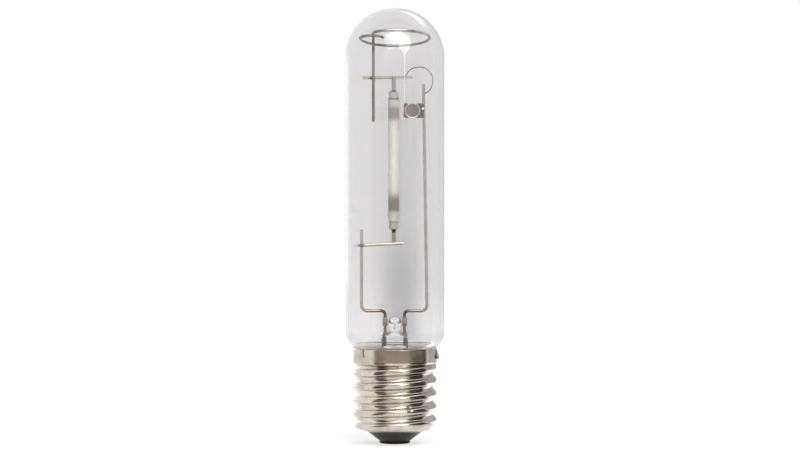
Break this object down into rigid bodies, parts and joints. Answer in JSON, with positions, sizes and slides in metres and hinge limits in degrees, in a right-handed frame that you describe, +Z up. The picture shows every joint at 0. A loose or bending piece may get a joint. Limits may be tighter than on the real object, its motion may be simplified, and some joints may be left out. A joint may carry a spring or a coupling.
{
  "type": "high pressure sodium lamp",
  "caption": "Clear tubular discharge lamp: a ceramic arc tube on a wire frame in a domed glass bulb, with a 40 mm screw cap.",
  "frame": {"origin": "centre of the underside of the centre contact, on the lamp's axis", "axes": "+Z up the lamp's axis from the contact to the dome; -Y is the front, with +X to the viewer's right"},
  "size_m": [0.0466, 0.0466, 0.205],
  "materials": {
    "bulb_glass": "clear hard glass, blown and fire polished",
    "stem_glass": "clear hard glass, flame worked and pressed",
    "nickel_plate": "bright nickel plating on rolled brass sheet",
    "black_glass": "black insulating glass, pressed",
    "contact_brass": "stamped brass, lightly tarnished",
    "tin_solder": "tin solder, cooled in air",
    "cement": "baked capping cement",
    "alumina": "sintered translucent alumina",
    "sealing_glass": "dark sealing glass, melted in place",
    "niobium": "drawn niobium tube",
    "frame_wire": "drawn nickel-plated iron wire",
    "bar_wire": "drawn bright nickel wire",
    "tungsten": "drawn tungsten",
    "tinned_copper": "tinned copper wire",
    "getter_steel": "stamped steel strip, darkened by flashing",
    "getter_powder": "pressed getter powder in a stamped dish",
    "amalgam": "sodium amalgam, a bright metal bead"
  },
  "bodies": {
    "root": {"outer_bulb": "bulb_glass", "glass_stem": "stem_glass", "screw_shell": "nickel_plate", "cap_insulator": "black_glass", "contact_plate": "contact_brass", "contact_solder": "tin_solder", "side_solder": "tin_solder", "capping_cement": "cement", "arc_tube": "alumina", "lower_end_plug": "alumina", "upper_end_plug": "alumina", "lower_seal_ring": "sealing_glass", "upper_seal_ring": "sealing_glass", "lower_niobium_tube": "niobium", "upper_niobium_tube": "niobium", "left_post": "frame_wire", "right_post": "frame_wire", "top_support_ring": "frame_wire", "left_weld_sleeve": "frame_wire", "right_weld_sleeve": "frame_wire", "lower_crossbar": "bar_wire", "upper_crossbar": "bar_wire", "flex_lead": "bar_wire", "left_lead_in": "tungsten", "right_lead_in": "tungsten", "lower_electrode_rod": "tungsten", "upper_electrode_rod": "tungsten", "lower_electrode_coil": "tungsten", "upper_electrode_coil": "tungsten", "side_lead": "tinned_copper", "centre_lead": "tinned_copper", "getter_plate": "getter_steel", "getter_disc": "getter_powder", "amalgam_dose": "amalgam"}
  },
  "joints": []
}
